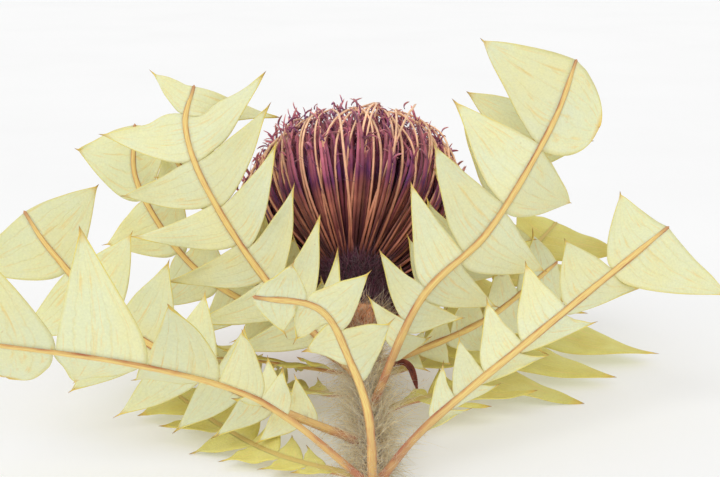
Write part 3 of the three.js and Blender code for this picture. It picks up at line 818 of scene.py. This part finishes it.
# The long styles bow out further than the straps, and bend in over the dome towards a few shared places.
def wireControls(spread, turn, controls, random):
    n = len(spread)
    over = spread * random.uniform(0.58, 0.9, n)
    endTurn = turn + random.normal(0, 0.36, n)
    end = aroundAxis(headForm["domeRadius"] * over, domeHeight(over) + random.uniform(-2.5, 2.5, n), endTurn)
    aside = headForm["lopside"] + 3 + 6 * smoothStep(-np.sin(turn), 0, 0.8)
    end[:, 0] += aside * (1 - 0.85 * smoothStep(np.cos(turn), 0.1, 0.8))
    clump = np.arange(headForm["clumps"])
    clumpSpread = np.sqrt((clump + 0.5) / len(clump)) * headForm["clumpSpread"]
    clumps = aroundAxis(headForm["domeRadius"] * clumpSpread, domeHeight(clumpSpread) + 0.5,
                        clump * goldenAngle + 0.7)
    clumps[:, 0] += headForm["lopside"] + 3.5
    nearest = np.argmin(np.linalg.norm(end[:, None] - clumps[None], axis=-1), axis=1)
    gathered = clumps[nearest] + random.normal(0, 1.3, (n, 3))
    end = mix(end, gathered, headForm["clumping"] * random.uniform(0.2, 1.4, (n, 1)))
    bow = aroundAxis(62.5 * spread**1.1, mix(76, 65, spread**2), turn + random.normal(0, 0.1, n))
    bow[:, 0] += headForm["lopside"]
    return [controls[0], controls[1], bow, end]


# Flat straps, a few to each floret, spread from its foot to the dome and curl at the end.
def makeStraps(controls, outward, sideways, random):
    count = len(outward)
    parts = []
    for k in range(headForm["strapsEach"]):
        ends = random.uniform(0.84, 1.02, (count, 1))
        t = mix(0.02, ends, np.linspace(0, 1, headForm["strapPoints"]))
        path = bezier(controls, t)
        shift = (k - 1) * 1.0 + random.normal(0, 0.3, count)
        rise = random.normal(-0.2, 0.6, count)
        fan = (0.3 + 0.95 * np.sin(np.pi * np.minimum(t, 1) ** 0.9))[..., None]
        path = path + (sideways * shift[:, None] + outward * rise[:, None])[:, None] * fan
        curl = random.normal(0, headForm["strapCurl"], (count, 1)) * sideways
        curl = curl - random.uniform(-0.6, 3.2, (count, 1)) * outward
        path = path + curl[:, None] * smoothStep(t / ends, 0.7, 1)[..., None] ** 1.5
        wide = np.interp(t, [0, 0.25, 0.55, 0.75, 1], [0.5, 0.8, 1.0, 0.85, 0.6]) * headForm["strapHalf"]
        radius = wide * random.uniform(0.75, 1.2, (count, 1))
        parts.append(makeStrands(toHead(path), radius, turned(outward), random, ("shade", "kind"), 4, 0.4))
    joinParts("headStraps", parts, strapMaterial, "flower_head")


def makeWires(spread, turn, outward, sideways, random):
    outer = spread > headForm["lowest"]
    chosen = np.flatnonzero(outer | (random.uniform(0, 1, len(spread)) < headForm["wires"]))
    wires = len(chosen)
    raised = np.where(outer, mix(spread, 1, 0.7), spread)[chosen]
    controls = wireControls(raised, turn[chosen], floretControls(raised, turn[chosen], random), random)
    outward, sideways = outward[chosen], sideways[chosen]
    part = np.linspace(0.03, 1, headForm["wirePoints"]) ** 0.94
    path = bezier(controls, part * random.uniform(0.9, 1.0, (wires, 1)))
    lift = headForm["wireLift"] * smoothStep(part, 0.02, 0.35) * (1 - 0.6 * smoothStep(part, 0.7, 1))
    path = path + (outward * random.uniform(0.5, 1.3, (wires, 1)))[:, None] * lift[None, :, None]
    wander = random.normal(0, headForm["wireWander"], (wires, 1)) * sideways
    wander = wander + random.normal(0, 0.5, (wires, 1)) * outward
    path = path + wander[:, None] * np.sin(np.pi * part)[None, :, None] ** 2
    hook = smoothStep(part, 0.82, 1.0)[None, :, None]
    lean = random.normal(0, 1.8, (wires, 1)) * sideways - random.uniform(0, 3, (wires, 1)) * outward
    path = path + lean[:, None] * hook**1.3
    path[:, :, 2] += random.uniform(-1.5, 2.5, (wires, 1)) * hook[:, :, 0] ** 2
    radius = mix(*headForm["wireRadius"], part)[None] * random.uniform(0.85, 1.15, (wires, 1))
    strands = makeStrands(toHead(path), radius, turned(outward), random, sides=6)
    joinParts("headWires", [strands], wireMaterial, "flower_head")


# The place at a share of each floret's length, and the way the floret runs there.
def alongFlorets(controls, share):
    u = share[:, None]
    place = bezier(controls, u)[:, 0]
    a, b, c, d = controls
    ahead = unit(3 * (1 - u) ** 2 * (b - a) + 6 * (1 - u) * u * (c - b) + 3 * u**2 * (d - c))
    return place, ahead


# Narrow ribbons that curl as they dry stand among the ends of the straps.
def makeCurledTips(controls, outward, random):
    n = headForm["tips"]
    which = random.integers(0, len(outward), n)
    share = 0.52 + 0.46 * random.beta(1.6, 1.2, n)
    root, ahead = alongFlorets([c[which] for c in controls], share)
    root = root + ahead * (random.uniform(0, 2.6, n) * smoothStep(share, 0.7, 0.95))[:, None]
    root = root + random.normal(0, 0.9, (n, 3)) + random.uniform(-0.5, 1.6, (n, 1)) * outward[which]
    aim = unit(ahead + random.normal(0, 0.3, (n, 3)) + 0.1 * outward[which])
    side = random.normal(0, 1, (n, 3)) + random.uniform(-0.9, 0.7, (n, 1)) * outward[which]
    side = unit(side - aim * np.sum(side * aim, -1, keepdims=True))
    length = random.uniform(*headForm["tipLength"], n) * mix(1, 0.78, smoothStep(share, 0.7, 0.95))
    bend = random.uniform(0.4, 2.4, n)[:, None, None]
    s = np.linspace(0, 1, headForm["tipPoints"])
    arc = bend * s[None, :, None]
    swing = aim[:, None] * np.sin(arc) + side[:, None] * (1 - np.cos(arc))
    path = root[:, None] + length[:, None, None] * swing / bend
    half = random.uniform(*headForm["tipHalf"], (n, 1)) * np.interp(s, [0, 0.5, 1], [0.7, 1, 0.5])[None]
    facing = turned(unit(side - 0.8 * aim))
    strands = makeStrands(toHead(path), half, facing, random, ("shade", "kind"), 4, 0.35)
    joinParts("headTips", [strands], tipMaterial, "flower_head")


# Fine plum hairs fill the middle of the head.
def makeFuzz(controls, outward, random):
    n = headForm["fuzz"]
    which = random.integers(0, len(outward), n)
    root, ahead = alongFlorets([c[which] for c in controls], random.beta(2.0, 2.0, n) * 0.36 + 0.36)
    root = root + random.normal(0, 1.2, (n, 3))
    aim = unit(ahead + random.normal(0, 0.45, (n, 3)) + 0.3 * outward[which])
    makeHairs("headFuzz", toHead(root), turned(aim), random.uniform(*headForm["fuzzLength"], n),
              headForm["hair"], turned(outward[which]), fuzzMaterial, "flower_head", random)


# Dark wool covers the neck, and the feet of the lowest florets where they spread out.
def makeNeckWool(random):
    n = headForm["neckHairs"]
    neckAt = smoothPath([[12.8, -6, 0], [12.2, -3, 0], [12.2, 3, 0], [14, 9, 0], [17, 14, 0]])[0]
    line, ahead = neckAt(random.uniform(0, 1, n) ** 0.85)
    turn = random.uniform(0, 2 * np.pi, n)
    outward = awayFromAxis(turn)
    root = aroundAxis(line[:, 0], line[:, 1], turn)
    root[:, 0] += headForm["lopside"] * 0.15 * smoothStep(line[:, 1], 0, 20)
    forward = aroundAxis(ahead[:, 0], ahead[:, 1], turn)
    aim = unit(forward + 0.45 * outward + random.normal(0, 0.3, (n, 3)))
    makeHairs("headNeckWool", toHead(root), turned(aim), random.uniform(*headForm["neckLength"], n),
              headForm["hair"], turned(outward), neckMaterial, "flower_head", random)


def makeHead():
    random = np.random.default_rng(7)
    count = headForm["florets"]
    spread = np.sqrt(1 - (np.arange(count) + 0.5) / count)
    turn = np.arange(count) * goldenAngle
    controls = floretControls(spread, turn, random)
    outward = awayFromAxis(turn)
    sideways = np.cross([0, 0, 1], outward)
    makeStraps(controls, outward, sideways, random)
    makeWires(spread, turn, outward, sideways, random)
    makeCurledTips(controls, outward, random)
    makeFuzz(controls, outward, random)
    makeNeckWool(random)
    within = [[r - 1 - 3 * smoothStep(r, 12, 20), z] for r, z in headForm["core"]] + [[0.2, 80]]
    points, quads, tris = latheSkin(within, **headForm["skin"])
    piece = makePiece("headCore", toHead(points), quads, tris, {}, [coreMaterial])
    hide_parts("flower_head")


makeHead()
print("flower head made")

collarForm = {
    "profile": [[0.5, -23], [5.4, -23], [8, -18], [11, -12], [13.5, -7], [12.5, -4], [0.5, -4]],
    "skin": {"rings": 40, "sides": 84, "bump": 0.22, "seed": 5},
    "rootHeight": [-23, -18, -12, -7, -4], "rootRadius": [5.2, 7.8, 10.8, 13.2, 12.4],
    "hairs": 3000, "hairLength": (2.5, 6.5), "hair": {"radius": 0.13, "bend": 0.45, "points": 5},
}
collarStops = {0.0: (220, 152, 112), 0.5: (248, 200, 154), 1.0: (254, 232, 200)}
silkStops = {0.0: (196, 152, 84), 0.4: (242, 212, 142), 1.0: (254, 240, 194)}
collarMaterial = makeThreadMaterial("brownWool", collarStops, 0.75, 1.2, 0.8, 0.7, translucent=True)
silkMaterial = makeThreadMaterial("silkyHair", silkStops, 0.72, 1.35, 0.5, 1.0, translucent=True)
feltColours = [(240, 180, 136), (210, 138, 100), (150, 84, 66)]
feltMaterial = makeSkinMaterial("collarFelt", feltColours, 180.0, 900.0, 0.001)


def makeCollar():
    random = np.random.default_rng(31)
    points, quads, tris = latheSkin(collarForm["profile"], **collarForm["skin"])
    piece = makePiece("collarSkin", toHead(points), quads, tris, {}, [feltMaterial])
    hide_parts("bract_collar")
    hairs, heights = collarForm["hairs"], collarForm["rootHeight"]
    height = random.uniform(heights[0], heights[-1], hairs)
    radius = np.interp(height, heights, collarForm["rootRadius"])
    turn = random.uniform(0, 2 * np.pi, hairs)
    outward = awayFromAxis(turn)
    root = aroundAxis(radius, height, turn)
    aim = unit(0.45 * outward + [0, 0, 1] + random.normal(0, 0.35, (hairs, 3)))
    makeHairs("collarWool", toHead(root), turned(aim), random.uniform(*collarForm["hairLength"], hairs),
              collarForm["hair"], turned(outward), collarMaterial, "bract_collar", random)


makeCollar()
print("collar made")

# The waves of the bark are a height, a count around the stem and one along it. The knobs stand out further.
stemForm = {
    "radius": (5, 4.2), "rings": 170, "sides": 44, "bark": 0.35,
    "waves": ((0.16, 3, 9), (0.12, 5, -23), (0.09, 8, 41), (0.06, 13, -67)),
    "knobs": 26, "knobHeight": (0.25, 0.6), "knobLength": 0.016, "knobWidth": 0.4,
    "hairs": 5600, "hairsFrom": -140, "hairsTo": -44, "hairLength": (4, 13),
    "hair": {"radius": 0.1, "bend": 0.45, "points": 5},
}
petioleForm = {
    "hairs": 130, "reach": 0.2, "hairLength": (2, 5.5), "hair": {"radius": 0.07, "bend": 0.4, "points": 4},
}
scaleForm = {
    "line": [[15, -73, 29], [20.5, -74, 31.5], [23.6, -75, 30], [25.4, -76, 26], [26.8, -77, 21.5]],
    "rows": 26, "columns": 9, "halfWidth": 0.9, "hollow": 0.75, "ripple": 0.25, "halfThickness": 0.2,
}
barkColours = [(168, 146, 112), (138, 108, 80), (112, 84, 62)]
woodColours = [(206, 178, 130), (186, 152, 104), (150, 112, 74)]
scaleColours = [(134, 70, 50), (98, 46, 36), (66, 30, 26)]
barkMaterial = makeSkinMaterial("hairyBark", barkColours, 120.0, 700.0, 0.0012)
woodMaterial = makeSkinMaterial("cutWood", woodColours, 300.0, 1500.0, 0.0006)
scaleMaterial = makeSkinMaterial("dryScale", scaleColours, 300.0, 1300.0, 0.0006)


def stemRadiusAt(t):
    return mix(*stemForm["radius"], t)


def stemFrames(t):
    centre, along = stemAt(t)
    across = unit(np.array([1.0, 0, 0]) - along * along[:, :1])
    return centre, along, across, np.cross(across, along)


def makeBark(random):
    rings, sides = stemForm["rings"], stemForm["sides"]
    t = np.linspace(0, 1, rings)
    centre, _, across, above = stemFrames(t)
    turns = turnsOf(sides)
    rough = sum(high * np.sin(around * turns[None] + lengthwise * t[:, None] + random.uniform(0, 6.3))
                for high, around, lengthwise in stemForm["waves"])
    for _ in range(stemForm["knobs"]):
        at, turn = random.uniform(0.05, 0.95), random.uniform(0, 2 * np.pi)
        apart = np.angle(np.exp(1j * (turns[None] - turn))) / stemForm["knobWidth"]
        away = (t[:, None] - at) / stemForm["knobLength"]
        rough += random.uniform(*stemForm["knobHeight"]) * np.exp(-away**2 - apart**2)
    radius = (stemRadiusAt(t) - stemForm["bark"])[:, None] + rough
    points = ringsAround(centre, across, above, radius * np.cos(turns), radius * np.sin(turns))
    points = points.reshape(-1, 3)
    points[:, 2] = np.maximum(points[:, 2], 0)
    points = np.vstack([points, centre[:1], centre[-1:]])
    quads, tris = tubeFaces(rings, sides)
    cutFace = np.zeros(len(quads) + len(tris), int)
    cutFace[len(quads):len(quads) + sides] = 1
    piece = makePiece("stemBark", points, quads, tris, {}, [barkMaterial, woodMaterial], cutFace)
    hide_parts("stem")


# Pale silk stands on the upper stem, dense below the collar and thin towards the cut end.
def makeSilk(random):
    hairs = stemForm["hairs"]
    y = mix(stemForm["hairsFrom"], stemForm["hairsTo"], random.beta(1.9, 1.4, hairs))
    t = stemShareAt(y)
    centre, along, across, above = stemFrames(t)
    turn = random.uniform(0, 2 * np.pi, hairs)[:, None]
    outward = across * np.cos(turn) + above * np.sin(turn)
    root = centre + outward * (stemRadiusAt(t) - 0.3)[:, None]
    spread = outward * random.uniform(0.35, 1.0, (hairs, 1))
    aim = unit(spread - 0.25 * along + random.normal(0, 0.4, (hairs, 3)))
    lengths = random.uniform(*stemForm["hairLength"], hairs) * mix(0.6, 1.1, smoothStep(y, -135, -95))
    makeHairs("stemSilk", root, aim, lengths, stemForm["hair"], outward, silkMaterial, "stem", random)


def makeStem():
    random = np.random.default_rng(41)
    makeBark(random)
    makeSilk(random)


# Fine hairs on the foot of every leaf's midrib, dense at the stem and soon gone.
def makePetioleHairs():
    random = np.random.default_rng(51)
    n, reach = petioleForm["hairs"], petioleForm["reach"]
    for leaf in leaves:
        frames = leafFrames(leaf)[0]
        t = 0.015 + reach * random.beta(1.0, 1.6, n)
        place, along, up, right = frames(t)
        turn = random.uniform(0, 2 * np.pi, n)[:, None]
        outward = right * np.cos(turn) + up * np.sin(turn)
        root = place + 0.85 * ribHalfAt(t)[:, None] * outward
        aim = unit(0.7 * outward + 0.5 * along + random.normal(0, 0.35, (n, 3)))
        lengths = random.uniform(*petioleForm["hairLength"], n) * mix(1.2, 0.6, smoothStep(t, 0, reach))
        makeHairs(leaf["name"] + "_hairs", root, aim, lengths, petioleForm["hair"], outward, silkMaterial,
                  leaf["name"], random)


# One small scale leaf, dry and curled back, hangs beside the collar.
def makeDryScale():
    rows, columns = scaleForm["rows"], scaleForm["columns"]
    s, v = np.linspace(0, 1, rows), np.linspace(-1, 1, columns)[None, :, None]
    line, along = smoothPath(scaleForm["line"])[0](s)
    sideways = unit(np.cross(along, [0.25, -0.9, 0.3]))
    up = np.cross(sideways, along)
    wide = (0.35 + scaleForm["halfWidth"] * np.sin(np.pi * s**1.1) ** 0.8)[:, None, None]
    relief = scaleForm["hollow"] * wide * v**2 + scaleForm["ripple"] * np.sin(9 * s[:, None, None] + 4 * v)
    middle = line[:, None] + sideways[:, None] * wide * v + up[:, None] * relief
    grain = unit(np.cross(np.gradient(middle, axis=0), np.gradient(middle, axis=1)))
    grain *= scaleForm["halfThickness"]
    points = np.vstack([(middle + grain).reshape(-1, 3), (middle - grain).reshape(-1, 3)])
    grid = gridFaces(rows, columns)
    each = rows * columns
    loop = np.concatenate([rimLoop(rows, columns), each - 2 - np.arange(columns - 2)])
    edge = np.stack([loop, np.roll(loop, -1), np.roll(loop, -1) + each, loop + each], -1)
    quads = np.vstack([grid, grid[:, ::-1] + each, edge])
    piece = makePiece("dryScale", points, quads, [], {}, [scaleMaterial])
    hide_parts("stem")


makeStem()
makePetioleHairs()
makeDryScale()
print("stem, hairs and scale made")

# The table glows a little, yellow, though it is no lamp: painted light that lifts the shade under the flower
# and warms it. The table's own colours are a little blue so that the open table still comes out white.
stageLook = {
    "table": [(227, 229, 236), (224, 226, 233)], "paintedTableGlow": 0.22, "paintedGlowColour": (1.0, 0.95, 0.72, 1),
    "world": 0.8, "worldColour": (0.995, 0.995, 1.0, 1),
    "sun": 0.76, "softness": 0.6, "sunColour": (1.0, 0.99, 0.975), "sunFrom": [-0.55, -0.85, 1.0],
}
viewForm = {"place": [4.4, -582.18, 208.15], "tilt": 14, "lens": 68.2}


def lookAlong(direction):
    return Vector(direction).to_track_quat("-Z", "Y").to_euler()


def makeStage():
    floorMaterial, tree, shader = newMaterial("paleTable", roughness=0.8)
    cloud = noiseFactor(tree, objectPlace(tree), 5.0, 3.0)
    pale = blendColour(tree, remap(tree, cloud, 0.3, 0.7), *(tint(colour) for colour in stageLook["table"]))
    # The table's glow is painted light: it lifts and warms the shade beneath the plant.
    fillInputs(tree, shader, {"Base Color": pale, "Emission Color": stageLook["paintedGlowColour"],
                              "Emission Strength": stageLook["paintedTableGlow"]})
    mesh = bpy.data.meshes.new("table")
    mesh.from_pydata([(-6, -4, 0), (6, -4, 0), (6, 9, 0), (-6, 9, 0)], [], [(0, 1, 2, 3)])
    mesh.materials.append(floorMaterial)
    floor = addObject("table", mesh)

    world = bpy.data.worlds.new("softRoom")
    world.use_nodes = True
    fillInputs(world.node_tree, world.node_tree.nodes["Background"],
               {"Color": stageLook["worldColour"], "Strength": stageLook["world"]})
    bpy.context.scene.world = world
    sun = bpy.data.lights.new("window", "SUN")
    sun.energy = stageLook["sun"]
    sun.angle = stageLook["softness"]
    sun.color = stageLook["sunColour"]
    lamp = addObject("window", sun)
    lamp.location = stageLook["sunFrom"]
    lamp.rotation_euler = lookAlong([-each for each in stageLook["sunFrom"]])


def makeCamera():
    lens = bpy.data.cameras.new("mainView")
    lens.sensor_width = 36
    lens.lens = viewForm["lens"]
    lens.clip_end = 60
    camera = addObject("mainView", lens)
    camera.location = (np.array(viewForm["place"]) + originShift) / 1000
    tilt = math.radians(viewForm["tilt"])
    camera.rotation_euler = lookAlong([0, math.cos(tilt), -math.sin(tilt)])
    bpy.context.scene.camera = camera


makeStage()
makeCamera()
bpy.context.scene.view_settings.view_transform = "Standard"
bpy.context.scene.view_settings.look = "None"
print("floor, light and camera set")

print("triangles", sum(len(m.loop_triangles) or sum(len(p.vertices) - 2 for p in m.polygons)
                       for m in bpy.data.meshes))
